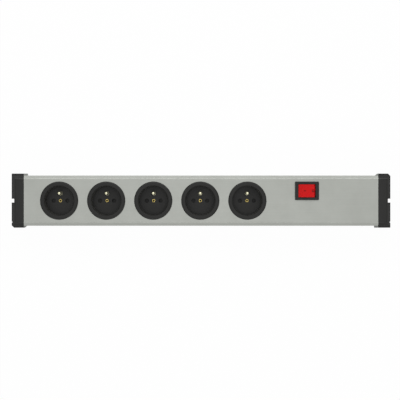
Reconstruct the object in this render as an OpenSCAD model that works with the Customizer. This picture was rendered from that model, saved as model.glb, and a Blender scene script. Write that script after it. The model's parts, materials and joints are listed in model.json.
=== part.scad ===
// Desk power strip: sloped aluminium profile, five round earthed sockets, lit rocker switch.
// Desk plane at z = 0, socket face up, switch towards +X.

/* [Profile] */
// Length of the profile between the end caps
profile_len = 482.6; // [466:0.2:510]
// Width across the long sides
profile_w = 68.4; // [67:0.2:74]
// Height of the socket face above the desk
profile_h = 44; // [42:0.5:50]
// Thickness of the side walls
side_wall = 2; // [1.6:0.1:2.4]
// Thickness of the socket face
face_wall = 2.2; // [1.8:0.1:2.6]
// Width of the sloped long edges, seen from above
edge_w = 4.3; // [3:0.1:5]
// Drop of the sloped long edges
edge_drop = 3; // [2:0.1:4]
// Thickness of the base plate that slides into the side grooves
base_t = 2; // [1.5:0.1:2.4]

/* [Sockets] */
// Distance of the first socket's centre from the left end of the profile
socket_inset = 48.3; // [44:0.1:54]
// Distance between neighbouring sockets
socket_pitch = 64; // [60:0.5:66]
// Outer diameter of the flat ring
ring_d = 52; // [49:0.5:56]
// Height of the ring above the socket face
ring_h = 1.4; // [1:0.1:2]
// Diameter of the plug recess
recess_d = 39.8; // [38.5:0.1:41]
// Depth of the plug recess from the top of the ring
recess_depth = 15.5; // [15:0.1:16.5]
// Distance between the two contact holes
pin_spacing = 19; // [18.6:0.1:19.4]
// Diameter of the contact holes
hole_d = 5.5; // [5.2:0.1:5.8]
// Diameter of the earth pin
earth_d = 4.8; // [4.6:0.1:5]
// Distance of the earth pin from the socket's centre
earth_offset = 10; // [9.6:0.1:10.4]
// Angle through which a shutter turns to free the holes
shutter_turn = 40; // [38:1:42]

/* [Switch] */
// Distance of the switch's centre from the last socket's centre
switch_inset = 81; // [76:0.1:88]
// Offset of the switch from the centre line
switch_y = 13.3; // [12.5:0.1:14]
// Length of the bezel along the strip
bezel_l = 32.5; // [32:0.1:35]
// Width of the bezel
bezel_w = 25; // [24.4:0.1:26]
// Height of the bezel above the socket face
bezel_h = 1.8; // [1.4:0.1:2.2]
// Width of the rocker
rocker_w = 17.4; // [17:0.1:19.2]
// Tilt of the rocker from level when it rests
rocker_tilt = 12; // [10:0.5:12]

/* [End caps] */
// Length of the cap's upper body along the strip
cap_len = 14.2; // [13.5:0.1:16]
// Thickness of the cap's foot flange
flange_t = 4.5; // [4:0.1:5.5]
// Reach of the foot flange past the upper body's end
flange_reach = 9; // [7:0.1:10]
// Reach of the foot flange past the profile's side
flange_side = 3.6; // [3:0.1:5]
// Width of the open fixing slot
slot_w = 5.3; // [4.6:0.1:5.6]
// Depth of the fixing groove in the upper body's end wall
slot_bite = 1.7; // [1:0.1:1.8]
// Cut across one outer corner of the flange
corner_cut = 3.3; // [2:0.1:4]

/* [Inlet] */
// Height of the inlet's flange
inlet_h = 31; // [30:0.1:32]
// Width of the inlet's flange
inlet_w = 21.6; // [21:0.1:22]
// Depth of the plug space in the inlet
inlet_depth = 16.3; // [15:0.1:17]

/* [Hidden] */
$fn = 96;

eps = 0.5;          // overshoot of cuts
fit = 0.05;         // running and press clearance
slack = 0.2;        // assembly clearance
gap = 0.3;          // clearance between moving faces

sockets = [1 : 5];
half_len = profile_len / 2;
half_w = profile_w / 2;

// profile details
foot_w = 6;
foot_t = 1.5;
groove_z = foot_t;
groove_h = base_t + slack;
rail_w = 5;
rail_t = 1.5;
channel_r = 3.4;
channel_sink = 0.1;
channel_y = half_w - side_wall - channel_r + channel_sink;
channel_z = profile_h / 2;
thread_r = 1.55;
channel_slot = 1.6;
base_z = groove_z + slack / 2;
base_top = base_z + base_t;
base_half_w = half_w - side_wall - gap;
liner_t = 0.8;
liner_side = 3;
liner_half_w = half_w - rail_w - liner_side;
liner_margin = 5;

// socket levels
ring_r = ring_d / 2;
rim_h = 0.35;
rim_w = 1.6;
lip = 1;
recess_r = recess_d / 2;
cup_wall = 2.3;
cup_r = recess_r + cup_wall;
hole_r = cup_r + gap;
ring_top = profile_h + ring_h;
floor_top = ring_top - recess_depth;
floor_t = 2.6;
floor_bot = floor_top - floor_t;
tab_w = 8;
tab_h = 4;
tab_out = 1.3;
tab_root = 1.2;
tab_top = profile_h - face_wall - fit;
chamber_h = 5;
chamber_bot = floor_bot - chamber_h;
carrier_r = cup_r - slack;
chamber_wall = 4.6;
chamber_r = carrier_r - chamber_wall;
pin_x = pin_spacing / 2;
earth_r = earth_d / 2;

// busbars, lying along the strip
bar_t = 1;
bar_w = 6;
bar_z = 6.5;
carrier_bot = bar_z + bar_t;
bar_lead = 37;
bar_end_x = socket_x(5) + bar_lead;
pocket_l = 8;
pocket_w = 8.4;
clip_w = 5;
leaf_t = 0.6;
leaf_nip = 0.1;
leaf_y = earth_r - leaf_nip;
leaf_drop = 0.8;
leaf_top = chamber_bot - leaf_drop;
live_side = 8.8;
live_y = -pocket_w / 2 - live_side;
neutral_side = 8;
neutral_y = earth_offset + neutral_side;
bar_step = 4;
earth_bar_z = bar_z + bar_step;
earth_bar_top = earth_bar_z + bar_t;
earth_lead_x = 10.4;
earth_x = socket_x(1) - carrier_r - earth_lead_x;
seat_w = 0.2;
seat_r = earth_r + seat_w;
seat_t = 0.6;
bush_r = 4;
stud_r = 2;
stud_head_r = 3.8;
stud_head_h = 2.4;
slot_cut = 1;

// shutter
rivet_r = 1.7;
rivet_bore_r = 1.3;
rivet_roll_r = 0.45;
shutter_t = 2.2;
shutter_z = floor_bot - slack - shutter_t;
hub_r = 4.2;
boss_r = 2.8;
wing_air = 1.8;
wing_r = chamber_r - wing_air;
wing_half = shutter_turn / 2;
coil_r = 3.5;
wire_r = 0.3;
coil_step = 0.55;
coil_turns = 3;
coil_z = chamber_bot + wire_r + fit;
leg_r = wire_r - fit;
leg_len = 10;
arm_len = 6;
arm_z = coil_z + (coil_turns - 1) * coil_step;
peg_r = 0.8;
post_r = 0.9;
post_h = 2;
stop_t = 1.2;
collar_w = 0.8;
collar_r = earth_r + collar_w;
collar_t = 1.5;
tail_r = 1.5;
tail_head_r = 2.1;
tail_head_h = 0.7;

// switch
switch_x = socket_x(5) + switch_inset;
pivot_drop = 5.5;
pivot_z = profile_h - pivot_drop;
rocker_r = 13.5;
crease_x = 8.3;
crease_h = 9.4;
facet_angle = 19;
facet_x = rocker_r * cos(facet_angle);
facet_z = rocker_r * sin(facet_angle);
facet_run = 1.4;
rocker_skirt = 4;
rocker_shell = 1.5;
trunnion_r = 1.5;
trunnion_l = 1.2;
pole_y = 4.7;
guide_r = 2.4;
guide_bot = -7.5;
guide_sink = 0.8;
guide_top = crease_h - guide_sink;
bore_r = 1.6;
bore_top = 4;
plunger_r = 1.5;
plunger_tip = -10.2;
plunger_top = -3;
mark_depth = 0.3;
dash_x = 5.2;
mark_ring_x = 6.3;
mark_l = 3.4;
mark_w = 0.8;
mark_r = 1.8;
cavity_r = rocker_r + gap;
cavity_w = rocker_w + 2 * gap;
body_wall = 1;
body_l = 2 * cavity_r + 2 * body_wall;
body_side = 1.4;
body_w = cavity_w + 2 * body_side;
body_h = 22.5;
body_bot = profile_h - body_h;
body_floor = 2;
room_l = 25;
bezel_corner = 1.4;
clip_out = 1;
clip_h = 3;
clip_l = 8;
lever_drop = 12;
lever_z = pivot_z - lever_drop;
lever_l = 17.5;
lever_w = 4;
lever_t = 1.2;
lever_lift = 0.3;
lever_tilt = rocker_tilt / 2;
lever_back = 8;
knife_r = 0.6;
contact_x = 8.5;
contact_r = 1.5;
contact_t = 0.6;
contact_air = 0.06;
contact_drop = (contact_x + contact_r) * sin(lever_tilt) + contact_t - lever_lift + contact_air;
blade_w = 6.3;
blade_t = 0.8;
blade_l = 9.5;
blade_bot = body_bot - blade_l;
rib_t = 2;
rib_l = 14;
rib_h = 5.5;
lamp_r = 2;
lamp_l = 9;

// caps and frames
cap_wall = 2.2;
end_wall = 2.5;
cap_end = half_len + cap_len;
end_bevel = 2.2;
end_drop = 2;
flange_step = 6.3;
flange_in = half_len + flange_step;
flange_end = cap_end + flange_reach;
flange_half_w = half_w + flange_side;
corner_r = 0.8;
slot_in = cap_end - slot_bite;
slot_corner = slot_w / 4;
nick_side = 7.7;
nick_y = flange_half_w - nick_side;
nick_w = 1.5;
nick_d = 1;
frame_x = half_len + gap;
frame_t = 3;
ear_gap = 1;
ear_x = half_len + ear_gap;
ear_step = 1.2;
tongue_l = 6;
tongue_w = 3;
tongue_h = 8;
tongue_up = 3;
tongue_z = channel_z + channel_r + tongue_up;
boss_wall_r = 3.4;
screw_r = 1.5;
screw_hole_r = 1.8;
screw_len = 30;
head_r = 3.1;
head_h = 2;
cross_l = 3.6;
cross_w = 0.8;
cross_d = 1;

// inlet in the right cap
inlet_side = (channel_y - head_r - slot_w / 2 - inlet_w) / 2;
inlet_y = slot_w / 2 + inlet_side + inlet_w / 2;
inlet_up = 2.5;
inlet_z = profile_h / 2 + inlet_up;
inlet_flange = 1.8;
inlet_rim_w = 1.2;
inlet_body_w = inlet_w - 2 * inlet_rim_w;
inlet_rim_h = 2.1;
inlet_body_h = inlet_h - 2 * inlet_rim_h;
inlet_wall = 1.4;
inlet_mouth = cap_end + inlet_flange;
inlet_floor = inlet_mouth - inlet_depth;
inlet_block = 10;
inlet_back = inlet_floor - inlet_block;
inlet_key = 4.5;
inlet_snap = 1;
inlet_pin_z = 7;
inlet_pin_y = 2;
inlet_pin_w = 4;
inlet_pin_t = 2;
inlet_pin_sink = 3.5;
inlet_pin_tip = inlet_mouth - inlet_pin_sink;
inlet_tab = 8.5;
inlet_tab_end = inlet_back - inlet_tab;

// wires
cable_r = 1.5;
thin_step = 0.1;
thin_r = cable_r - thin_step;
wire_up = 3;
wire_z = blade_bot + wire_up;
bend_run = 18;
bend_x = bar_end_x + bend_run;
bar_lap = 3;
rise_run = 12;
in_start = switch_x + contact_x + blade_t / 2 + fit;
in_end = inlet_tab_end - fit;
in_bends = 5;
tail_run = (in_end - in_start) / in_bends;
earth_lead = 10;
earth_side = 18;
earth_rise = 5;
earth_rise_x = (switch_x + body_l / 2 + inlet_tab_end - rise_run) / 2;

alu = [0.67, 0.68, 0.66];
black = [0.1, 0.1, 0.1];
grey = [0.42, 0.42, 0.41];
brass = [0.8, 0.68, 0.42];
steel = [0.72, 0.73, 0.74];
red = [0.75, 0.12, 0.12];
cream = [0.85, 0.82, 0.74];

function socket_x(i) = -half_len + socket_inset + (i - 1) * socket_pitch;

// a flat drawing of (across, up) pulled along the strip from x = from
module along_x(from, length) {
    translate([from, 0, 0]) rotate([90, 0, 90]) linear_extrude(length) children();
}

// a flat drawing of (along, up) pulled evenly to both sides across the strip
module across_y(width) {
    rotate([90, 0, 0]) linear_extrude(width, center = true) children();
}

module both_sides() {
    for (m = [0, 1]) mirror([0, m, 0]) children();
}

module outline(inset, top_inset, bottom) {
    w = half_w - inset;
    t = profile_h - top_inset;
    polygon([[-w, bottom], [w, bottom], [w, t - edge_drop], [w - edge_w, t],
        [edge_w - w, t], [-w, t - edge_drop]]);
}

module round_rect(l, w, r) {
    square([l, w - 2 * r], center = true);
    square([l - 2 * r, w], center = true);
    for (x = [-1, 1], y = [-1, 1]) translate([x * (l / 2 - r), y * (w / 2 - r)]) circle(r);
}

function unit(v) = v / norm(v);

module segment(a, b, r) {
    v = b - a;
    translate(a) rotate([0, acos(v[2] / norm(v)), atan2(v[1], v[0])]) cylinder(h = norm(v), r = r);
}

// wire along straight runs: every second run is a little thinner and ends inside its neighbours
module cable(path) {
    last = len(path) - 1;
    for (k = [1 : last]) {
        u = unit(path[k] - path[k - 1]);
        odd = k % 2 == 1;
        back = odd && k > 1 ? cable_r : 0;
        ahead = odd && k < last ? cable_r : 0;
        segment(path[k - 1] - back * u, path[k] + ahead * u, odd ? cable_r : thin_r);
    }
}

module profile_section() {
    difference() {
        outline(0, 0, 0);
        outline(side_wall, face_wall, -eps);
    }
    for (m = [0, 1]) mirror([m, 0]) {
        translate([half_w - foot_w, 0]) square([foot_w, foot_t]);
        translate([half_w - rail_w, groove_z + groove_h]) square([rail_w - side_wall / 2, rail_t]);
        translate([channel_y, channel_z]) difference() {
            circle(channel_r);
            circle(thread_r);
            translate([-channel_r - eps, -channel_slot / 2]) square([channel_r + eps, channel_slot]);
        }
    }
}

module housing_profile() color(alu) difference() {
    along_x(-half_len, profile_len) profile_section();
    for (i = sockets) translate([socket_x(i), 0, profile_h - face_wall - eps])
        cylinder(h = face_wall + 2 * eps, r = hole_r);
    translate([switch_x, switch_y, profile_h - face_wall - eps]) linear_extrude(face_wall + 2 * eps)
        square([body_l + 2 * slack, body_w + 2 * slack], center = true);
}

module base_plate() color(alu) difference() {
    translate([-half_len + slack, -base_half_w, base_z])
        cube([profile_len - 2 * slack, 2 * base_half_w, base_t]);
    translate([earth_x, 0, base_z - eps]) translate([0, earth_offset, 0])
        cylinder(h = base_t + 2 * eps, r = stud_r + fit);
}

module insulating_liner() color(cream) difference() {
    translate([-half_len + liner_margin, -liner_half_w, base_top])
        cube([profile_len - 2 * liner_margin, 2 * liner_half_w, liner_t]);
    translate([earth_x, earth_offset, base_top - eps]) cylinder(h = liner_t + 2 * eps, r = bush_r + slack);
}

// right-hand cap shell, without its cut-outs
module cap_shell() {
    intersection() {
        along_x(half_len, cap_len) outline(0, 0, flange_t);
        across_y(profile_w + 2) polygon([[half_len, 0], [cap_end, 0], [cap_end, profile_h - end_drop],
            [cap_end - end_bevel, profile_h], [half_len, profile_h]]);
    }
    linear_extrude(flange_t) {
        polygon([[flange_in, -flange_half_w], [flange_end - corner_r, -flange_half_w],
            [flange_end, corner_r - flange_half_w], [flange_end, flange_half_w - corner_cut],
            [flange_end - corner_cut, flange_half_w], [flange_in, flange_half_w]]);
        translate([flange_end - corner_r, corner_r - flange_half_w]) circle(corner_r);
    }
}

module fixing_slot() {
    translate([0, 0, -eps]) linear_extrude(profile_h + 2 * eps) {
        both_sides() translate([slot_in + slot_corner, slot_w / 2 - slot_corner]) circle(slot_corner);
        translate([slot_in, slot_corner - slot_w / 2])
            square([flange_reach + slot_bite + corner_r, slot_w - 2 * slot_corner]);
        translate([slot_in + slot_corner, -slot_w / 2]) square([flange_reach + slot_bite, slot_w]);
    }
}

module end_cap() {
    difference() {
        union() {
            difference() {
                cap_shell();
                along_x(half_len - eps, cap_len - end_wall + eps) outline(cap_wall, cap_wall, flange_t);
            }
            both_sides() translate([frame_x + frame_t, channel_y, channel_z]) rotate([0, 90, 0])
                cylinder(h = cap_end - end_wall / 2 - frame_x - frame_t, r = boss_wall_r);
        }
        fixing_slot();
        both_sides() translate([half_len, channel_y, channel_z]) rotate([0, 90, 0])
            cylinder(h = cap_len + eps, r = screw_hole_r);
    }
}

module edge_nick(side) translate([flange_end - nick_d, side * nick_y - nick_w / 2, -eps])
    cube([nick_d + eps, nick_w, flange_t + 2 * eps]);

module end_cap_left() color(black) rotate([0, 0, 180]) difference() {
    end_cap();
    edge_nick(1);
}

module end_cap_right() color(black) difference() {
    end_cap();
    edge_nick(-1);
    translate([cap_end - end_wall - eps, inlet_y - inlet_body_w / 2 - slack,
        inlet_z - inlet_body_h / 2 - slack])
        cube([end_wall + 2 * eps, inlet_body_w + 2 * slack, inlet_body_h + 2 * slack]);
}

// grey frame between profile and cap, with a foot bar whose ears show beside the profile
module end_frame() {
    difference() {
        union() {
            along_x(frame_x, frame_t) outline(cap_wall + slack, cap_wall + slack, 0);
            linear_extrude(flange_t) polygon([[ear_x, -flange_half_w], [flange_in, -flange_half_w],
                [flange_in, flange_half_w], [flange_in - ear_step, flange_half_w], [ear_x, half_w]]);
            both_sides() translate([half_len - tongue_l, half_w - side_wall - slack - tongue_w, tongue_z])
                cube([tongue_l + frame_t / 2, tongue_w, tongue_h]);
        }
        both_sides() translate([half_len - eps, channel_y, channel_z]) rotate([0, 90, 0])
            cylinder(h = frame_t + 2 * eps, r = screw_hole_r);
    }
}

module end_frame_left() color(grey) rotate([0, 0, 180]) end_frame();

module end_frame_right() color(grey) difference() {
    end_frame();
    translate([half_len - eps, inlet_y - inlet_body_w / 2 - slack, inlet_z - inlet_body_h / 2 - slack])
        cube([frame_t + 2 * eps, inlet_body_w + 2 * slack, inlet_body_h + 2 * slack]);
}

module cap_screw() {
    difference() {
        union() {
            cylinder(h = head_h, r = head_r);
            translate([0, 0, -screw_len]) cylinder(h = screw_len + head_h / 2, r = screw_r);
        }
        for (a = [0, 90]) rotate(a) translate([-cross_l / 2, -cross_w / 2, head_h - cross_d])
            cube([cross_l, cross_w, cross_d + eps]);
    }
}

module cap_screws() color(steel) for (a = [0, 180]) rotate(a) both_sides()
    translate([cap_end, channel_y, channel_z]) rotate([0, 90, 0]) cap_screw();

module socket_face() {
    difference() {
        union() {
            rotate_extrude() polygon([[0, floor_bot], [cup_r, floor_bot], [cup_r, profile_h],
                [ring_r, profile_h], [ring_r, profile_h + rim_h], [ring_r - rim_w, ring_top],
                [recess_r + lip, ring_top], [recess_r, ring_top - lip], [recess_r, floor_top],
                [0, floor_top]]);
            both_sides() translate([-tab_w / 2, cup_r - tab_root, tab_top - tab_h])
                cube([tab_w, tab_root + tab_out, tab_h]);
        }
        for (s = [-1, 1]) translate([s * pin_x, 0, floor_bot - eps])
            cylinder(h = floor_t + 2 * eps, d = hole_d);
        translate([0, earth_offset, floor_bot - eps]) cylinder(h = floor_t + 2 * eps, r = earth_r + fit);
        translate([0, 0, floor_bot - eps]) cylinder(h = floor_t + 2 * eps, r = rivet_r + fit);
    }
}

module shutter() {
    wing = [2 * wing_r * cos(wing_half), 2 * wing_r * sin(wing_half)];
    translate([0, 0, shutter_z]) difference() {
        union() {
            linear_extrude(shutter_t) {
                circle(hub_r);
                intersection() {
                    circle(wing_r);
                    for (s = [-1, 1]) polygon([[0, 0], [s * wing[0], -wing[1]], [s * wing[0], wing[1]]]);
                }
            }
            translate([0, 0, chamber_bot + slack - shutter_z])
                cylinder(h = shutter_z - chamber_bot, r = boss_r);
            translate([1 - arm_len - coil_r, peg_r + wire_r, arm_z - wire_r - shutter_z])
                cylinder(h = shutter_z - arm_z + 1, r = peg_r);
        }
        translate([0, 0, chamber_bot - shutter_z]) cylinder(h = chamber_h, r = rivet_r + fit);
    }
}

module shutter_spring() {
    translate([0, 0, coil_z]) rotate_extrude()
        for (k = [0 : coil_turns - 1]) translate([coil_r, k * coil_step]) circle(wire_r, $fn = 24);
    translate([0, -coil_r, coil_z]) rotate([90, 0, 0]) cylinder(h = leg_len, r = leg_r, $fn = 24);
    translate([-coil_r, 0, arm_z]) rotate([0, -90, 0]) cylinder(h = arm_len, r = leg_r, $fn = 24);
}

module contact_carrier() {
    difference() {
        translate([0, 0, carrier_bot]) cylinder(h = floor_bot - carrier_bot, r = carrier_r);
        translate([0, 0, chamber_bot]) cylinder(h = chamber_h + eps, r = chamber_r);
        for (s = [-1, 1]) translate([s * pin_x - pocket_l / 2, -pocket_w / 2, carrier_bot - eps])
            cube([pocket_l, pocket_w, chamber_bot - carrier_bot + 2 * eps]);
        translate([0, earth_offset, carrier_bot - eps])
            cylinder(h = chamber_bot - carrier_bot + 2 * eps, r = earth_r + fit);
        translate([0, 0, carrier_bot - eps])
            cylinder(h = chamber_bot - carrier_bot + 2 * eps, r = rivet_r + fit);
        translate([-carrier_r - eps, earth_offset - bar_w / 2 - slack, carrier_bot - eps])
            cube([2 * carrier_r + 2 * eps, bar_w + 2 * slack, earth_bar_top + fit - carrier_bot + eps]);
    }
    translate([wire_r + post_r, 2 - leg_len - coil_r, chamber_bot - eps])
        cylinder(h = post_h + eps, r = post_r);
    for (a = [0, 180]) rotate(a - wing_half) translate([wing_r - stop_t, -stop_t - gap, chamber_bot - eps])
        cube([chamber_r + eps - wing_r + stop_t, stop_t, chamber_h + eps - slack]);
}

module rivet_roll() {
    rotate_extrude() intersection() {
        translate([rivet_bore_r + rivet_roll_r, 0]) circle(rivet_roll_r);
        square([hub_r, rivet_roll_r + eps]);
    }
}

module centre_rivet() {
    translate([0, 0, floor_top]) rivet_roll();
    translate([0, 0, carrier_bot]) mirror([0, 0, 1]) rivet_roll();
    translate([0, 0, carrier_bot - rivet_roll_r / 2]) difference() {
        cylinder(h = floor_top - carrier_bot + rivet_roll_r, r = rivet_r);
        translate([0, 0, -eps])
            cylinder(h = floor_top - carrier_bot + rivet_roll_r + 2 * eps, r = rivet_bore_r);
    }
}

module earth_pin() {
    translate([0, earth_offset, 0]) rotate_extrude() {
        translate([0, earth_bar_top]) square([earth_r, ring_top - earth_r - earth_bar_top]);
        translate([0, ring_top - earth_r]) intersection() {
            circle(earth_r);
            square([earth_r, earth_r]);
        }
        translate([0, floor_top]) square([seat_r, seat_t]);
        translate([0, chamber_bot]) square([collar_r, collar_t]);
        translate([0, earth_bar_z - tail_head_h]) square([tail_r, bar_t + tail_head_h]);
        translate([0, earth_bar_z - tail_head_h]) square([tail_head_r, tail_head_h]);
    }
}

// strip with a pair of spring leaves under one contact hole of every socket
module busbar(side, lane) {
    start = socket_x(1) + side * pin_x - clip_w / 2;
    inner = lane < 0 ? lane : -leaf_y - leaf_t;
    reach = lane < 0 ? leaf_y + leaf_t - lane : lane + leaf_y + leaf_t;
    translate([start, lane - bar_w / 2, bar_z]) cube([bar_end_x - start, bar_w, bar_t]);
    for (i = sockets) translate([socket_x(i) + side * pin_x - clip_w / 2, 0, bar_z]) {
        translate([0, inner, 0]) cube([clip_w, reach, bar_t]);
        both_sides() translate([0, leaf_y, 0]) cube([clip_w, leaf_t, leaf_top - bar_z]);
    }
}

module live_busbar() color(brass) busbar(-1, live_y);
module neutral_busbar() color(brass) busbar(1, neutral_y);

module earth_busbar() color(brass) difference() {
    translate([earth_x - bar_w, earth_offset - bar_w / 2, earth_bar_z])
        cube([bar_end_x - earth_x + bar_w, bar_w, bar_t]);
    for (i = sockets) translate([socket_x(i), earth_offset, earth_bar_z - eps])
        cylinder(h = bar_t + 2 * eps, r = tail_r + fit);
    translate([earth_x, earth_offset, earth_bar_z - eps]) cylinder(h = bar_t + 2 * eps, r = stud_r + fit);
}

module earth_bush() color(brass) translate([earth_x, earth_offset, base_top]) difference() {
    cylinder(h = earth_bar_z - base_top, r = bush_r);
    translate([0, 0, -eps]) cylinder(h = earth_bar_z - base_top + 2 * eps, r = stud_r + fit);
}

module earth_screw() color(steel) translate([earth_x, earth_offset, 0]) difference() {
    union() {
        translate([0, 0, base_z]) cylinder(h = earth_bar_top - base_z + stud_head_h / 2, r = stud_r);
        translate([0, 0, earth_bar_top]) cylinder(h = stud_head_h, r = stud_head_r);
    }
    translate([-stud_head_r - eps, -slot_cut / 2, earth_bar_top + stud_head_h - slot_cut])
        cube([2 * stud_head_r + 2 * eps, slot_cut, slot_cut + eps]);
}

module at_pivot() translate([switch_x, switch_y, pivot_z]) children();

module switch_body() color(black) difference() {
    union() {
        translate([switch_x, switch_y, profile_h]) linear_extrude(bezel_h)
            round_rect(bezel_l, bezel_w, bezel_corner);
        translate([switch_x - body_l / 2, switch_y - body_w / 2, body_bot])
            cube([body_l, body_w, profile_h - body_bot + bezel_h / 2]);
        for (s = [-1, 1])
            translate([switch_x + s * body_l / 2 - clip_out, switch_y - clip_l / 2, tab_top - clip_h])
            cube([2 * clip_out, clip_l, clip_h]);
    }
    at_pivot() across_y(cavity_w) circle(cavity_r);
    difference() {
        translate([switch_x - room_l / 2, switch_y - cavity_w / 2, body_bot + body_floor])
            cube([room_l, cavity_w, pivot_z - body_bot - body_floor]);
        translate([switch_x - rib_l / 2, switch_y - rib_t / 2, body_bot])
            cube([rib_l, rib_t, body_floor + rib_h]);
    }
    at_pivot() across_y(body_w + 2 * eps) circle(trunnion_r + fit);
    for (p = [-1, 1], x = [0, contact_x])
        translate([switch_x + x - blade_t / 2 - fit, switch_y + p * pole_y - blade_w / 2 - fit,
            body_bot - eps])
            cube([blade_t + 2 * fit, blade_w + 2 * fit, body_floor + 2 * eps]);
}

module rocker_top(drop) {
    out_x = crease_x + facet_run * (facet_x - crease_x);
    out_z = crease_h + facet_run * (facet_z - crease_h);
    translate([0, -drop]) polygon([[-crease_x, crease_h], [crease_x, crease_h], [out_x, out_z],
        [out_x, -rocker_skirt], [-out_x, -rocker_skirt], [-out_x, out_z]]);
}

module switch_rocker() color(red) at_pivot() rotate([0, rocker_tilt, 0]) difference() {
    union() {
        difference() {
            across_y(rocker_w) intersection() {
                circle(rocker_r);
                rocker_top(0);
            }
            across_y(rocker_w - 2 * rocker_shell) intersection() {
                circle(rocker_r - rocker_shell);
                rocker_top(rocker_shell);
            }
        }
        for (p = [-1, 1]) translate([0, p * pole_y, guide_bot])
            cylinder(h = guide_top - guide_bot, r = guide_r);
        both_sides() translate([0, rocker_w / 2 - rocker_shell, 0]) rotate([-90, 0, 0])
            cylinder(h = rocker_shell + trunnion_l, r = trunnion_r);
    }
    for (p = [-1, 1]) translate([0, p * pole_y, guide_bot - eps])
        cylinder(h = bore_top - guide_bot + eps, r = bore_r);
    translate([-dash_x - mark_l / 2, -mark_w / 2, crease_h - mark_depth])
        cube([mark_l, mark_w, mark_depth + eps]);
    translate([mark_ring_x, 0, crease_h - mark_depth]) difference() {
        cylinder(h = mark_depth + eps, r = mark_r);
        translate([0, 0, -eps]) cylinder(h = mark_depth + 3 * eps, r = mark_r - mark_w);
    }
}

module at_poles() at_pivot() rotate([0, rocker_tilt, 0]) for (p = [-1, 1])
    translate([0, p * pole_y, 0]) children();

module rocker_plungers() color(cream) at_poles() {
    translate([0, 0, plunger_tip + plunger_r])
        cylinder(h = plunger_top - plunger_tip - plunger_r, r = plunger_r);
    translate([0, 0, plunger_tip + plunger_r]) rotate_extrude() intersection() {
        circle(plunger_r);
        translate([0, -plunger_r]) square(plunger_r);
    }
}

module plunger_springs() color(steel) at_poles() translate([0, 0, plunger_top + wire_r]) rotate_extrude()
    for (z = [0 : coil_step : bore_top - plunger_top - 2 * wire_r])
        translate([bore_r - wire_r - fit, z]) circle(wire_r, $fn = 24);

module contact_levers() color(brass) for (p = [-1, 1])
    translate([switch_x, switch_y + p * pole_y, lever_z]) rotate([0, -lever_tilt, 0]) {
        difference() {
            translate([-lever_back, -lever_w / 2, lever_lift]) cube([lever_l, lever_w, lever_t]);
            across_y(lever_w + 2 * eps) circle(knife_r + fit);
        }
        translate([contact_x, 0, lever_lift - contact_t])
            cylinder(h = contact_t + lever_t / 2, r = contact_r);
    }

module switch_terminals() color(brass) for (p = [-1, 1]) translate([switch_x, switch_y + p * pole_y, 0]) {
    translate([-blade_t / 2, -blade_w / 2, blade_bot])
        cube([blade_t, blade_w, body_bot + body_floor - blade_bot]);
    translate([-blade_t / 2, -lever_w / 2, body_bot]) cube([blade_t, lever_w, lever_z - body_bot]);
    translate([0, 0, lever_z]) across_y(lever_w) circle(knife_r);
    translate([contact_x - blade_t / 2, -blade_w / 2, blade_bot])
        cube([blade_t, blade_w, body_bot + body_floor - blade_bot]);
    translate([contact_x, 0, body_bot + body_floor])
        cylinder(h = lever_z - contact_drop - body_bot - body_floor, r = contact_r);
}

module switch_lamp() color(cream)
    translate([switch_x - lamp_l / 2, switch_y, body_bot + body_floor + rib_h + lamp_r])
    rotate([0, 90, 0]) {
        cylinder(h = lamp_l, r = lamp_r);
        translate([0, 0, lamp_l]) sphere(lamp_r - fit);
    }

module inlet_outline(w, h) {
    polygon([[-w / 2, -h / 2], [w / 2 - inlet_key, -h / 2], [w / 2, inlet_key - h / 2],
        [w / 2, h / 2 - inlet_key], [w / 2 - inlet_key, h / 2], [-w / 2, h / 2]]);
}

module at_inlet(x, length) translate([0, inlet_y, inlet_z]) along_x(x, length) children();

module inlet_contacts(extra) {
    for (c = [[-inlet_pin_y, inlet_pin_z], [-inlet_pin_y, -inlet_pin_z], [inlet_pin_y, 0]])
        translate(c) square([inlet_pin_w + extra, inlet_pin_t + extra], center = true);
}

module inlet_housing() color(black) difference() {
    union() {
        at_inlet(cap_end, inlet_flange) round_rect(inlet_w, inlet_h, bezel_corner);
        at_inlet(inlet_back, cap_end - inlet_back + inlet_flange / 2)
            square([inlet_body_w, inlet_body_h], center = true);
        at_inlet(cap_end - end_wall - fit - clip_h, clip_h)
            square([clip_l, inlet_body_h + 2 * inlet_snap], center = true);
    }
    at_inlet(inlet_floor, inlet_depth + eps)
        inlet_outline(inlet_body_w - 2 * inlet_wall, inlet_body_h - 2 * inlet_wall);
    at_inlet(inlet_back - eps, inlet_floor - inlet_back + 2 * eps) inlet_contacts(2 * fit);
}

module inlet_pins() color(brass) at_inlet(inlet_tab_end, inlet_pin_tip - inlet_tab_end) inlet_contacts(0);

module live_out_wire() color([0.45, 0.25, 0.15]) cable([
    [bar_end_x - bar_lap, live_y, carrier_bot + cable_r + fit],
    [bend_x, live_y, carrier_bot + cable_r + fit],
    [bend_x + rise_run, switch_y - pole_y, wire_z],
    [switch_x - blade_t / 2 - fit, switch_y - pole_y, wire_z]]);

module neutral_out_wire() color([0.2, 0.35, 0.7]) cable([
    [bar_end_x - bar_lap, neutral_y, carrier_bot + cable_r + fit],
    [bend_x, switch_y + pole_y, carrier_bot + cable_r + fit],
    [bend_x + rise_run, switch_y + pole_y, wire_z],
    [switch_x - blade_t / 2 - fit, switch_y + pole_y, wire_z]]);

module live_in_wire() color([0.45, 0.25, 0.15]) cable([
    [in_start, switch_y - pole_y, wire_z],
    [in_start + tail_run, switch_y - pole_y, wire_z],
    [in_end - tail_run, inlet_y - inlet_pin_y, inlet_z - inlet_pin_z],
    [in_end, inlet_y - inlet_pin_y, inlet_z - inlet_pin_z]]);

module neutral_in_wire() color([0.2, 0.35, 0.7]) cable([
    [in_start, switch_y + pole_y, wire_z],
    [in_start + tail_run, switch_y + pole_y, wire_z],
    [in_end - tail_run, inlet_y - inlet_pin_y, inlet_z + inlet_pin_z],
    [in_end, inlet_y - inlet_pin_y, inlet_z + inlet_pin_z]]);

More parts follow.
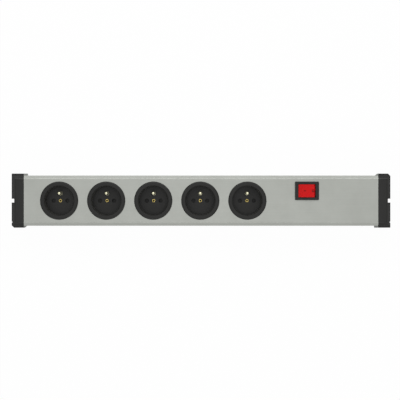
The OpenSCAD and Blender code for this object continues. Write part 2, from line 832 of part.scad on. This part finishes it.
module earth_wire() color([0.35, 0.6, 0.2]) cable([
    [bar_end_x - bar_lap, earth_offset, earth_bar_top + cable_r + fit],
    [bend_x - earth_lead, earth_offset - earth_side, wire_z + earth_rise],
    [earth_rise_x, earth_offset - earth_side, wire_z + earth_rise],
    [inlet_tab_end - rise_run, inlet_y + inlet_pin_y, inlet_z],
    [in_end, inlet_y + inlet_pin_y, inlet_z]]);

module at_socket(i) translate([socket_x(i), 0, 0]) children();

module socket_1() color(black) at_socket(1) socket_face();
module socket_2() color(black) at_socket(2) socket_face();
module socket_3() color(black) at_socket(3) socket_face();
module socket_4() color(black) at_socket(4) socket_face();
module socket_5() color(black) at_socket(5) socket_face();
module shutter_1() color(grey) at_socket(1) shutter();
module shutter_2() color(grey) at_socket(2) shutter();
module shutter_3() color(grey) at_socket(3) shutter();
module shutter_4() color(grey) at_socket(4) shutter();
module shutter_5() color(grey) at_socket(5) shutter();
module shutter_spring_1() color(steel) at_socket(1) shutter_spring();
module shutter_spring_2() color(steel) at_socket(2) shutter_spring();
module shutter_spring_3() color(steel) at_socket(3) shutter_spring();
module shutter_spring_4() color(steel) at_socket(4) shutter_spring();
module shutter_spring_5() color(steel) at_socket(5) shutter_spring();
module contact_carrier_1() color(cream) at_socket(1) contact_carrier();
module contact_carrier_2() color(cream) at_socket(2) contact_carrier();
module contact_carrier_3() color(cream) at_socket(3) contact_carrier();
module contact_carrier_4() color(cream) at_socket(4) contact_carrier();
module contact_carrier_5() color(cream) at_socket(5) contact_carrier();
module centre_rivets() color(brass) for (i = sockets) at_socket(i) centre_rivet();
module earth_pins() color(brass) for (i = sockets) at_socket(i) earth_pin();

housing_profile();
base_plate();
insulating_liner();
end_cap_left();
end_cap_right();
end_frame_left();
end_frame_right();
cap_screws();
socket_1();
socket_2();
socket_3();
socket_4();
socket_5();
shutter_1();
shutter_2();
shutter_3();
shutter_4();
shutter_5();
shutter_spring_1();
shutter_spring_2();
shutter_spring_3();
shutter_spring_4();
shutter_spring_5();
contact_carrier_1();
contact_carrier_2();
contact_carrier_3();
contact_carrier_4();
contact_carrier_5();
centre_rivets();
earth_pins();
live_busbar();
neutral_busbar();
earth_busbar();
earth_bush();
earth_screw();
switch_body();
switch_rocker();
rocker_plungers();
plunger_springs();
contact_levers();
switch_terminals();
switch_lamp();
inlet_housing();
inlet_pins();
live_in_wire();
neutral_in_wire();
live_out_wire();
neutral_out_wire();
earth_wire();
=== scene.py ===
import bpy
import bmesh
import json
import math
from mathutils import Matrix, Vector


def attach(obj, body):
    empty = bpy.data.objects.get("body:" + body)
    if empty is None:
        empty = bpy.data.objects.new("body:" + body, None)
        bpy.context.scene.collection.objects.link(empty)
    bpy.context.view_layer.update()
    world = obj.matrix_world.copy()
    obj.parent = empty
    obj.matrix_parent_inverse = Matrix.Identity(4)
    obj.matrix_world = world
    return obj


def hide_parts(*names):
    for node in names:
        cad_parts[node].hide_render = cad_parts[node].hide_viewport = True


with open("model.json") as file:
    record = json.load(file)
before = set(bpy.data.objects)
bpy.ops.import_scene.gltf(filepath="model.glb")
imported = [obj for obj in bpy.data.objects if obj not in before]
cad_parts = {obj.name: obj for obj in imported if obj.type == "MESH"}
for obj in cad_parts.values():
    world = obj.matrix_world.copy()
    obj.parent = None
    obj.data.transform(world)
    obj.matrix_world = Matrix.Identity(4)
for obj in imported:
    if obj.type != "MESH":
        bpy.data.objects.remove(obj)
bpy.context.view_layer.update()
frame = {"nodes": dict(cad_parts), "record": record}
nodes = frame["nodes"]
behaviour = frame["record"]["behaviour"]
jointOf = {joint["name"]: joint for joint in behaviour["joints"]}
white = (1.0, 1.0, 1.0, 1.0)
print("stage: frame loaded,", len(nodes), "nodes")


def shade(r, g, b):  # a screen colour, 0 to 255, made linear
    def channel(c):
        c = c / 255.0
        return c / 12.92 if c <= 0.04045 else ((c + 0.055) / 1.055) ** 2.4
    return (channel(r), channel(g), channel(b), 1.0)


def addPiece(name, data):
    piece = bpy.data.objects.new(name, data)
    bpy.context.scene.collection.objects.link(piece)
    return piece


# an input takes a plain value, or another node's output and is linked to it
def addNode(tree, kind, inputs, **settings):
    node = tree.nodes.new("ShaderNode" + kind)
    for name, value in settings.items():
        setattr(node, name, value)
    for socket, value in inputs.items():
        if isinstance(value, bpy.types.NodeSocket):
            tree.links.new(value, node.inputs[socket])
        else:
            node.inputs[socket].default_value = value
    return node


def reckon(tree, operation, *values, clamp=False):
    node = addNode(tree, "Math", dict(enumerate(values)), operation=operation, use_clamp=clamp)
    return node.outputs["Value"]


def remap(tree, value, start, stop, low=0.0, high=1.0):
    spans = {"Value": value, "From Min": start, "From Max": stop, "To Min": low, "To Max": high}
    return addNode(tree, "MapRange", spans).outputs["Result"]


def blend(tree, share, first, second):
    node = addNode(tree, "Mix", {"Factor": share, "A": first, "B": second}, data_type="FLOAT")
    return node.outputs["Result"]


# camera and light

view = {
    "lens": 95.96, "sensor": 36.0,  # mm
    "place": (-0.00143, 0.00088, 1.494),  # straight above the face
    "nearest": 0.01,  # nothing closer is drawn
}
cameraData = bpy.data.cameras.new("photoCamera")
cameraData.lens = view["lens"]
cameraData.sensor_width = view["sensor"]
cameraData.sensor_fit = "HORIZONTAL"
cameraData.clip_start = view["nearest"]
camera = addPiece("photoCamera", cameraData)
camera.location = view["place"]
bpy.context.scene.camera = camera

lamps = {
    # above the top edge of the picture
    "keyLight": {"power": 9.3, "size": (1.8, 0.8), "place": (0.0, 1.05, 1.0)},
    # below the bottom edge, for the long slope there
    "fillLight": {"power": 3.3, "size": (2.0, 0.6), "place": (0.0, -1.1, 1.0)},
    # behind the camera, into the recesses
    "overLight": {"power": 2.2, "size": (1.0, 1.0), "place": (0.0, -0.15, 1.7)},
}


def addLamp(name, lamp):
    data = bpy.data.lights.new(name, "AREA")
    data.shape = "RECTANGLE"
    data.size, data.size_y = lamp["size"]
    data.energy = lamp["power"]
    piece = addPiece(name, data)
    piece.location = lamp["place"]
    aim = -Vector(lamp["place"])  # at the origin
    piece.rotation_euler = aim.to_track_quat("-Z", "Y").to_euler()


for lampName, lamp in lamps.items():
    addLamp(lampName, lamp)

sky = {
    "low": 0.42, "high": 0.66,  # soft light from all round, stronger from the top of the picture
    "sides": -0.2,  # and weaker towards both ends
    "seen": 1.0,  # plain white
}


def whiteRays(tree):
    path = addNode(tree, "LightPath", {}).outputs
    total = path["Is Camera Ray"]
    for kind in ("Is Glossy Ray", "Is Transmission Ray"):  # metal and glass show the white ground too
        total = reckon(tree, "ADD", total, path[kind], clamp=True)
    return total


def makeSky():
    world = bpy.data.worlds.new("studio")
    bpy.context.scene.world = world
    world.use_nodes = True
    tree = world.node_tree
    tree.nodes.clear()
    way = addNode(tree, "TexCoord", {}).outputs["Generated"]
    axis = addNode(tree, "SeparateXYZ", {"Vector": way}).outputs
    level = remap(tree, axis["Y"], -1.0, 1.0, sky["low"], sky["high"])
    ends = reckon(tree, "MULTIPLY", axis["X"], axis["X"])
    fall = reckon(tree, "MULTIPLY_ADD", ends, sky["sides"], 1.0)
    strength = reckon(tree, "MULTIPLY", level, fall)
    soft = addNode(tree, "Background", {"Color": white, "Strength": strength}).outputs["Background"]
    seen = addNode(tree, "Background", {"Color": white, "Strength": sky["seen"]}).outputs["Background"]
    mix = addNode(tree, "MixShader", {"Fac": whiteRays(tree), 1: soft, 2: seen})
    addNode(tree, "OutputWorld", {"Surface": mix.outputs["Shader"]})


makeSky()
bpy.context.scene.view_settings.view_transform = "Standard"
print("stage: camera and light")


# shared surface effects, each a group built once

def newGroup(name, inputs, outputs):
    group = bpy.data.node_groups.new(name, "ShaderNodeTree")
    for label, value in inputs.items():
        socket = group.interface.new_socket(label, in_out="INPUT", socket_type="NodeSocketFloat")
        socket.default_value = value
    for label in outputs:
        group.interface.new_socket(label, in_out="OUTPUT", socket_type="NodeSocketFloat")
    start = group.nodes.new("NodeGroupInput")
    end = group.nodes.new("NodeGroupOutput")
    return group, start.outputs, end.inputs


def objectPlace(tree):
    return addNode(tree, "TexCoord", {}).outputs["Object"]


def facingUp(tree):
    facing = addNode(tree, "NewGeometry", {}).outputs["Normal"]
    return addNode(tree, "SeparateXYZ", {"Vector": facing}).outputs["Z"]


grainSet = {
    "fineScale": 2600.0, "pitSmooth": 0.6, "speckDetail": 3.0, "speckShare": 0.45,
    "broadScale": 22.0, "broadDetail": 4.0, "broadRough": 0.6,
}


def makeGrain():
    group, start, end = newGroup(
        "mouldGrain",
        {"Fine Scale": grainSet["fineScale"], "Broad Scale": grainSet["broadScale"]},
        ("Fine", "Broad"))
    place = objectPlace(group)
    pits = addNode(
        group, "TexVoronoi",
        {"Vector": place, "Scale": start["Fine Scale"], "Smoothness": grainSet["pitSmooth"]},
        feature="SMOOTH_F1")
    speck = addNode(
        group, "TexNoise",
        {"Vector": place, "Scale": start["Fine Scale"], "Detail": grainSet["speckDetail"]})
    broad = addNode(group, "TexNoise", {
        "Vector": place, "Scale": start["Broad Scale"],
        "Detail": grainSet["broadDetail"], "Roughness": grainSet["broadRough"]})
    fine = blend(group, grainSet["speckShare"], pits.outputs["Distance"], speck.outputs["Fac"])
    group.links.new(fine, end["Fine"])
    group.links.new(broad.outputs["Fac"], end["Broad"])
    return group


drawnSet = {"across": 3200.0, "along": 18.0, "scale": 1.0, "detail": 4.0, "rough": 0.55}


def makeDrawn():
    group, start, end = newGroup(
        "drawnLines", {"Across": drawnSet["across"], "Along": drawnSet["along"]}, ("Line",))
    split = addNode(group, "SeparateXYZ", {"Vector": objectPlace(group)}).outputs
    ways = {"X": "Along", "Y": "Across", "Z": "Across"}
    stretch = {axis: reckon(group, "MULTIPLY", split[axis], start[way]) for axis, way in ways.items()}
    line = addNode(group, "TexNoise", {
        "Vector": addNode(group, "CombineXYZ", stretch).outputs["Vector"], "Scale": drawnSet["scale"],
        "Detail": drawnSet["detail"], "Roughness": drawnSet["rough"]})
    group.links.new(line.outputs["Fac"], end["Line"])
    return group


wearSet = {
    "radius": 0.0006, "samples": 6,
    "flat": 0.985, "edge": 0.86,  # how far the softened normal leans, as a cosine
    "breakScale": 260.0, "breakDetail": 3.0, "breakFrom": 0.42, "breakTo": 0.66,
}


def makeWear():
    group, start, end = newGroup(
        "edgeWear", {"Radius": wearSet["radius"], "Break Scale": wearSet["breakScale"]}, ("Edge",))
    soft = addNode(group, "Bevel", {"Radius": start["Radius"]}, samples=wearSet["samples"])
    flat = addNode(group, "NewGeometry", {})
    lean = addNode(
        group, "VectorMath", {0: soft.outputs["Normal"], 1: flat.outputs["Normal"]},
        operation="DOT_PRODUCT")
    breaks = addNode(group, "TexNoise", {
        "Vector": objectPlace(group), "Scale": start["Break Scale"], "Detail": wearSet["breakDetail"]})
    edge = remap(group, lean.outputs["Value"], wearSet["flat"], wearSet["edge"])
    gate = remap(group, breaks.outputs["Fac"], wearSet["breakFrom"], wearSet["breakTo"])
    group.links.new(reckon(group, "MULTIPLY", edge, gate), end["Edge"])
    return group


dustSet = {"scale": 900.0, "detail": 5.0, "speckFrom": 0.56, "speckTo": 0.78}


def makeDust():
    group, start, end = newGroup("dustFilm", {"Speck Scale": dustSet["scale"]}, ("Dust",))
    speck = addNode(group, "TexNoise", {
        "Vector": objectPlace(group), "Scale": start["Speck Scale"], "Detail": dustSet["detail"]})
    gate = remap(group, speck.outputs["Fac"], dustSet["speckFrom"], dustSet["speckTo"])
    group.links.new(reckon(group, "MULTIPLY", facingUp(group), gate, clamp=True), end["Dust"])
    return group


sideSet = {"steep": 0.25, "level": 0.6}  # how far a face looks up or down


# a mask of upright faces, which carries the painted wall light
def makeSides():
    group, start, end = newGroup(
        "uprightSides", {"Steep": sideSet["steep"], "Level": sideSet["level"]}, ("Side",))
    slope = reckon(group, "ABSOLUTE", facingUp(group))
    side = remap(group, slope, start["Steep"], start["Level"], 1.0, 0.0)
    group.links.new(side, end["Side"])
    return group


grainGroup = makeGrain()
drawnGroup = makeDrawn()
wearGroup = makeWear()
dustGroup = makeDust()
sideGroup = makeSides()
print("stage: surface groups")


# materials

surface = {
    "span": (0.25, 0.75),  # where most values of a grain lie
    "broadShare": 0.5,  # of the broad grain in the roughness
    "colourInputs": (6, 7), "colourOutput": 2,  # where a Mix node has its colours
}


def newMaterial(name):
    material = bpy.data.materials.new(name)
    material.use_nodes = True
    material.node_tree.nodes.clear()
    return material, material.node_tree


def useGroup(tree, group, inputs):
    return addNode(tree, "Group", inputs, node_tree=group).outputs


def spread(tree, source, low, high):
    return remap(tree, source, *surface["span"], low, high)


def tint(tree, factor, first, second):
    firstInput, secondInput = surface["colourInputs"]
    mix = addNode(
        tree, "Mix", {"Factor": factor, firstInput: first, secondInput: second}, data_type="RGBA")
    return mix.outputs[surface["colourOutput"]]


def portion(tree, source, amount):
    return reckon(tree, "MULTIPLY", source, amount, clamp=True)


# where the painted shade of the rivet bores goes
def boreMask(tree, bore):  # 1 inside the bores, which lie in a row along X
    half = bore["pitch"] / 2
    split = addNode(tree, "SeparateXYZ", {"Vector": objectPlace(tree)}).outputs
    fold = reckon(tree, "WRAP", split["X"], bore["first"] + half, bore["first"] - half)
    across = reckon(tree, "SUBTRACT", fold, bore["first"])
    join = addNode(tree, "CombineXYZ", {"X": across, "Y": split["Y"]})
    reach = addNode(tree, "VectorMath", {0: join.outputs["Vector"]}, operation="LENGTH")
    rim = bore["radius"] + bore["soft"]
    return remap(tree, reach.outputs["Value"], bore["radius"], rim, 1.0, 0.0)


def makeMaterial(name, look):
    material, tree = newMaterial(name)
    grain = useGroup(tree, grainGroup, {"Fine Scale": look["fine"], "Broad Scale": look["broad"]})
    fine, broad = grain["Fine"], grain["Broad"]
    colour = tint(tree, spread(tree, broad, 0.0, 1.0), look["colour"], look["second"])
    if "lines" in look:
        across, along = look["lines"]
        fine = useGroup(tree, drawnGroup, {"Across": across, "Along": along})["Line"]
        colour = tint(tree, portion(tree, fine, look["lineShare"]), colour, look["lineColour"])
    # upright faces take a lighter colour: painted light on walls the lamps barely reach
    if "sideColour" in look:
        side = useGroup(tree, sideGroup, {})["Side"]
        colour = tint(tree, side, colour, look["sideColour"])
    if "wear" in look:
        edge = useGroup(tree, wearGroup, {"Radius": look["wearRadius"]})["Edge"]
        colour = tint(tree, portion(tree, edge, look["wear"]), colour, look["wearColour"])
    if "dust" in look:
        dust = useGroup(tree, dustGroup, {"Speck Scale": look["dustScale"]})["Dust"]
        colour = tint(tree, portion(tree, dust, look["dust"]), colour, look["dustColour"])
    # painted shade over the bores and the inner edge of the lip around them
    if "bore" in look:
        colour = tint(tree, boreMask(tree, look["bore"]), colour, look["boreColour"])
    rough = blend(
        tree, surface["broadShare"],
        spread(tree, fine, *look["rough"]), spread(tree, broad, *look["rough"]))
    bump = addNode(tree, "Bump", {"Strength": look["bump"], "Distance": look["depth"], "Height": fine})
    shader = addNode(tree, "BsdfPrincipled", {
        "Base Color": colour, "Roughness": rough, "Normal": bump.outputs["Normal"],
        "Metallic": look.get("metal", 0.0), "Specular IOR Level": look.get("specular", 0.5),
        "Transmission Weight": look.get("clear", 0.0)})
    addNode(tree, "OutputMaterial", {"Surface": shader.outputs["BSDF"]})
    material.diffuse_color = look["colour"]
    return material


plasticTone = {"fade": 0.93, "wornGain": 1.5, "wornLift": 18}  # its second and worn colours
metalTone = {"fade": (0.95, 0.95, 0.94)}


def plastic(r, g, b, **more):
    fade, gain, lift = plasticTone["fade"], plasticTone["wornGain"], plasticTone["wornLift"]
    look = {
        "colour": shade(r, g, b), "second": shade(r * fade, g * fade, b * fade),
        "fine": 2400.0, "broad": 24.0, "rough": (0.42, 0.56), "bump": 0.35, "depth": 0.00006,
        "wear": 0.35, "wearRadius": 0.0005,
        "wearColour": shade(r * gain + lift, g * gain + lift, b * gain + lift),
        "dust": 0.045, "dustScale": 1700.0, "dustColour": shade(150, 148, 142), "specular": 0.35,
    }
    look.update(more)
    return look


def metal(r, g, b, **more):
    fadeR, fadeG, fadeB = metalTone["fade"]
    look = {
        "colour": shade(r, g, b), "second": shade(r * fadeR, g * fadeG, b * fadeB),
        "fine": 1800.0, "broad": 40.0, "rough": (0.22, 0.36), "bump": 0.15, "depth": 0.00002,
        "metal": 1.0,
    }
    look.update(more)
    return look


firstSocket, nextSocket = [jointOf["shutter_%d_pivot" % number]["pos_m"][0] for number in (1, 2)]
rivetBore = {
    "first": firstSocket, "pitch": nextSocket - firstSocket,
    "radius": 0.00138, "soft": 0.0001,  # just past the wall of the bore
}
looks = {
    "profile_aluminium": metal(
        160, 162, 157, second=shade(155, 157, 152), rough=(0.42, 0.56), bump=0.22, depth=0.00003,
        lines=(2300.0, 7.0), lineShare=0.30, lineColour=shade(137, 139, 134),
        wear=0.30, wearRadius=0.0006, wearColour=shade(196, 198, 194),
        dust=0.06, dustScale=500.0, dustColour=shade(158, 156, 150)),
    "plate_aluminium": metal(
        176, 178, 176, rough=(0.40, 0.52),
        lines=(2200.0, 8.0), lineShare=0.3, lineColour=shade(150, 152, 150)),
    "liner_plastic": plastic(196, 192, 178),
    "cap_plastic": plastic(24, 24, 22, specular=0.28, rough=(0.16, 0.26)),
    "frame_plastic": plastic(170, 172, 168),
    "screw_steel": metal(188, 188, 186),
    "socket_plastic": plastic(
        19, 19, 17, specular=0.28, rough=(0.36, 0.50),
        sideColour=shade(62, 62, 58)),  # painted light on the recess walls, which the lamps barely reach
    "shutter_plastic": plastic(26, 26, 25, specular=0.2, wear=0.0),
    "spring_steel": metal(150, 150, 152),
    "carrier_plastic": plastic(198, 190, 168),
    "pin_brass": metal(208, 205, 176, rough=(0.18, 0.30)),
    "contact_brass": metal(206, 176, 104, rough=(0.28, 0.42)),
    "switch_plastic": plastic(19, 19, 18, specular=0.28, rough=(0.32, 0.44)),
    "rocker_red": plastic(
        215, 16, 18, rough=(0.22, 0.32), bump=0.06, specular=0.18,
        wear=0.15, wearColour=shade(224, 70, 64), dust=0.03),
    "markRed": plastic(62, 4, 5, specular=0.1, wear=0.0, dust=0.0),
    "rivetBrass": metal(
        228, 204, 126, rough=(0.24, 0.38),
        bore=rivetBore, boreColour=shade(10, 8, 5)),  # painted shade of the bore, reaching over the inner edge of the rolled lip
    "lamp_glass": plastic(240, 226, 196, rough=(0.05, 0.12), clear=0.7, wear=0.0),
    "wire_brown": plastic(104, 62, 36, rough=(0.34, 0.46)),
    "wire_blue": plastic(40, 92, 170, rough=(0.34, 0.46)),
    "wire_green": plastic(70, 140, 58, rough=(0.34, 0.46)),
}
materials = {name: makeMaterial(name, look) for name, look in looks.items()}
print("stage: materials")


# pieces

slotOf = {entry["node"]: entry["material_slot"] for entry in frame["record"]["subparts"]}
bodyOf = {node: body for body, members in behaviour["bodies"].items() for node in members}
ownLook = {"centre_rivets": "rivetBrass"}  # the other nodes take the look of their slot
for nodeName, item in nodes.items():
    item.data.materials.clear()
    item.data.materials.append(materials[ownLook.get(nodeName, slotOf[nodeName])])

rounding = {
    "weld": 0.000002, "pinched": 0.0000005,  # points this near become one, before and after
    "flat": 0.4,  # degrees, faces that turn less are joined
    "sharp": 32.0,  # edges that turn more are rounded
    "hold": 40.0,  # edges that then still turn more stay crisp
    "steps": 3, "bulge": 0.5,
}


def bevelEdges(work, edges, offset, steps, clamp):
    bmesh.ops.bevel(
        work, geom=edges, offset=offset, offset_type="OFFSET", segments=steps,
        profile=rounding["bulge"], affect="EDGES", clamp_overlap=clamp)


def sharpEdges(work):
    return [e for e in work.edges if e.calc_face_angle(0.0) > math.radians(rounding["sharp"])]


def foldEdges(work, fold):
    def onFold(point):
        aside, above = abs(point.y) - fold["y"], point.z - fold["z"]
        return abs(aside) < fold["near"] and abs(above) < fold["near"]
    return [e for e in work.edges if all(onFold(v.co) for v in e.verts)]


def roundOver(nodeName, build):
    mesh = nodes[nodeName].data.copy()
    work = bmesh.new()
    work.from_mesh(mesh)
    bmesh.ops.remove_doubles(work, verts=work.verts, dist=rounding["weld"])
    bmesh.ops.dissolve_limit(
        work, angle_limit=math.radians(rounding["flat"]), use_dissolve_boundaries=False,
        verts=work.verts, edges=work.edges)
    fold = build.get("fold")
    if fold:  # the long folds along both sides catch the light on a wider round
        bevelEdges(work, foldEdges(work, fold), fold["offset"], fold["steps"], False)
    bevelEdges(work, sharpEdges(work), build["radius"], build.get("steps", rounding["steps"]), True)
    # rounds pinched to nothing
    bmesh.ops.remove_doubles(work, verts=work.verts, dist=rounding["pinched"])
    bmesh.ops.dissolve_degenerate(work, edges=work.edges, dist=rounding["pinched"])
    for face in work.faces:
        face.smooth = True
    for edge in work.edges:
        edge.smooth = edge.calc_face_angle(0.0) < math.radians(rounding["hold"])
    work.to_mesh(mesh)
    work.free()
    piece = addPiece(nodeName + "_shell", mesh)
    even = piece.modifiers.new("evenShading", "WEIGHTED_NORMAL")
    even.keep_sharp = True
    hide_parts(nodeName)
    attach(piece, bodyOf[nodeName])
    print("piece:", piece.name, len(mesh.polygons), "faces")


foldNear = 0.00005  # how far a point may lie from the fold
profilePoints = [v.co for v in nodes["housing_profile"].data.vertices]
faceTop = max(p.z for p in profilePoints)
faceSide = max(abs(p.y) for p in profilePoints if p.z > faceTop - foldNear)
longFold = {"y": faceSide, "z": faceTop, "near": foldNear, "offset": 0.0007, "steps": 4}
capFold = dict(longFold, offset=0.0012, steps=5)
shells = {
    "housing_profile": {"radius": 0.00035, "steps": 2, "fold": longFold},
    "end_cap_left": {"radius": 0.0004, "fold": capFold},
    "end_cap_right": {"radius": 0.0004, "fold": capFold},
    "end_frame_left": {"radius": 0.0003},
    "end_frame_right": {"radius": 0.0003},
    "cap_screws": {"radius": 0.00015, "steps": 2},
    "switch_body": {"radius": 0.0004},
    "switch_rocker": {"radius": 0.0003},
    "inlet_housing": {"radius": 0.0003},
    "inlet_pins": {"radius": 0.00025},
    "earth_pins": {"radius": 0.0001, "steps": 2},
    "rocker_plungers": {"radius": 0.0001, "steps": 2},
    "switch_lamp": {"radius": 0.0001, "steps": 2},
}
for nodeName in nodes:
    if nodeName.startswith("socket_"):
        shells[nodeName] = {"radius": 0.0003}
for nodeName, build in shells.items():
    roundOver(nodeName, build)
print("stage: pieces")


# paint in the engraved marks on the rocker

mark = {
    "top": 0.0094,  # of the rocker's flat, above its pivot
    "sink": 0.0003, "fill": 0.00024, "inset": 0.00003,
    "dash": {"x": -0.0052, "length": 0.0034, "width": 0.0008},
    "ring": {"x": 0.0063, "radius": 0.0018, "width": 0.0008, "steps": 48},
    "edge": 0.00005, "edgeSteps": 2,
}


def fillDash(work, low, high):
    dash = mark["dash"]
    halfLength, halfWidth = dash["length"] / 2 - mark["inset"], dash["width"] / 2 - mark["inset"]
    corners = ((-1, -1), (1, -1), (1, 1), (-1, 1))
    bottom = [work.verts.new((dash["x"] + i * halfLength, j * halfWidth, low)) for i, j in corners]
    top = [work.verts.new((v.co.x, v.co.y, high)) for v in bottom]
    work.faces.new(top)
    work.faces.new(bottom[::-1])
    for k in range(len(corners)):
        n = (k + 1) % len(corners)
        work.faces.new((bottom[k], bottom[n], top[n], top[k]))


def fillRing(work, low, high):
    ring = mark["ring"]
    outer = ring["radius"] - mark["inset"]
    inner = ring["radius"] - ring["width"] + mark["inset"]
    section = ((outer, low), (outer, high), (inner, high), (inner, low))
    loops = []
    for k in range(ring["steps"]):
        a = 2 * math.pi * k / ring["steps"]
        points = [(ring["x"] + r * math.cos(a), r * math.sin(a), z) for r, z in section]
        loops.append([work.verts.new(point) for point in points])
    for k in range(ring["steps"]):
        here, ahead = loops[k], loops[(k + 1) % ring["steps"]]
        for m in range(len(section)):
            n = (m + 1) % len(section)
            work.faces.new((here[m], ahead[m], ahead[n], here[n]))


def makeMarks():
    low = mark["top"] - mark["sink"]
    high = low + mark["fill"]
    work = bmesh.new()
    fillDash(work, low, high)
    fillRing(work, low, high)
    bmesh.ops.recalc_face_normals(work, faces=work.faces)
    bevelEdges(work, sharpEdges(work), mark["edge"], mark["edgeSteps"], True)
    pivot = jointOf["rocker_pivot"]
    tilt = math.radians(sum(pivot["range_deg"]) / 2)  # it rests half its swing from level
    work.transform(Matrix.Translation(pivot["pos_m"]) @ Matrix.Rotation(tilt, 4, "Y"))
    mesh = bpy.data.meshes.new("switch_marks")
    work.to_mesh(mesh)
    work.free()
    mesh.materials.append(materials["markRed"])
    piece = addPiece("switch_marks", mesh)
    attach(piece, "rocker")


makeMarks()
print("stage: marks")


# floor

floor = {
    "size": 6.0, "tone": (0.9, 0.9, 0.9, 1.0),
    "glow": 0.97,  # share of its own white, the rest takes the shadow
}


def makeFloor():
    mesh = bpy.data.meshes.new("floor")
    reach = floor["size"] / 2
    corners = [(-reach, -reach, 0), (reach, -reach, 0), (reach, reach, 0), (-reach, reach, 0)]
    mesh.from_pydata(corners, [], [(0, 1, 2, 3)])
    material, tree = newMaterial("paleFloor")
    share = reckon(tree, "MULTIPLY", whiteRays(tree), floor["glow"])
    matt = addNode(tree, "BsdfDiffuse", {"Color": floor["tone"]}).outputs["BSDF"]
    glow = addNode(tree, "Emission", {"Color": white, "Strength": 1.0}).outputs["Emission"]
    mix = addNode(tree, "MixShader", {"Fac": share, 1: matt, 2: glow})
    addNode(tree, "OutputMaterial", {"Surface": mix.outputs["Shader"]})
    mesh.materials.append(material)
    return addPiece("floor", mesh)


floorPiece = makeFloor()
print("stage: floor")
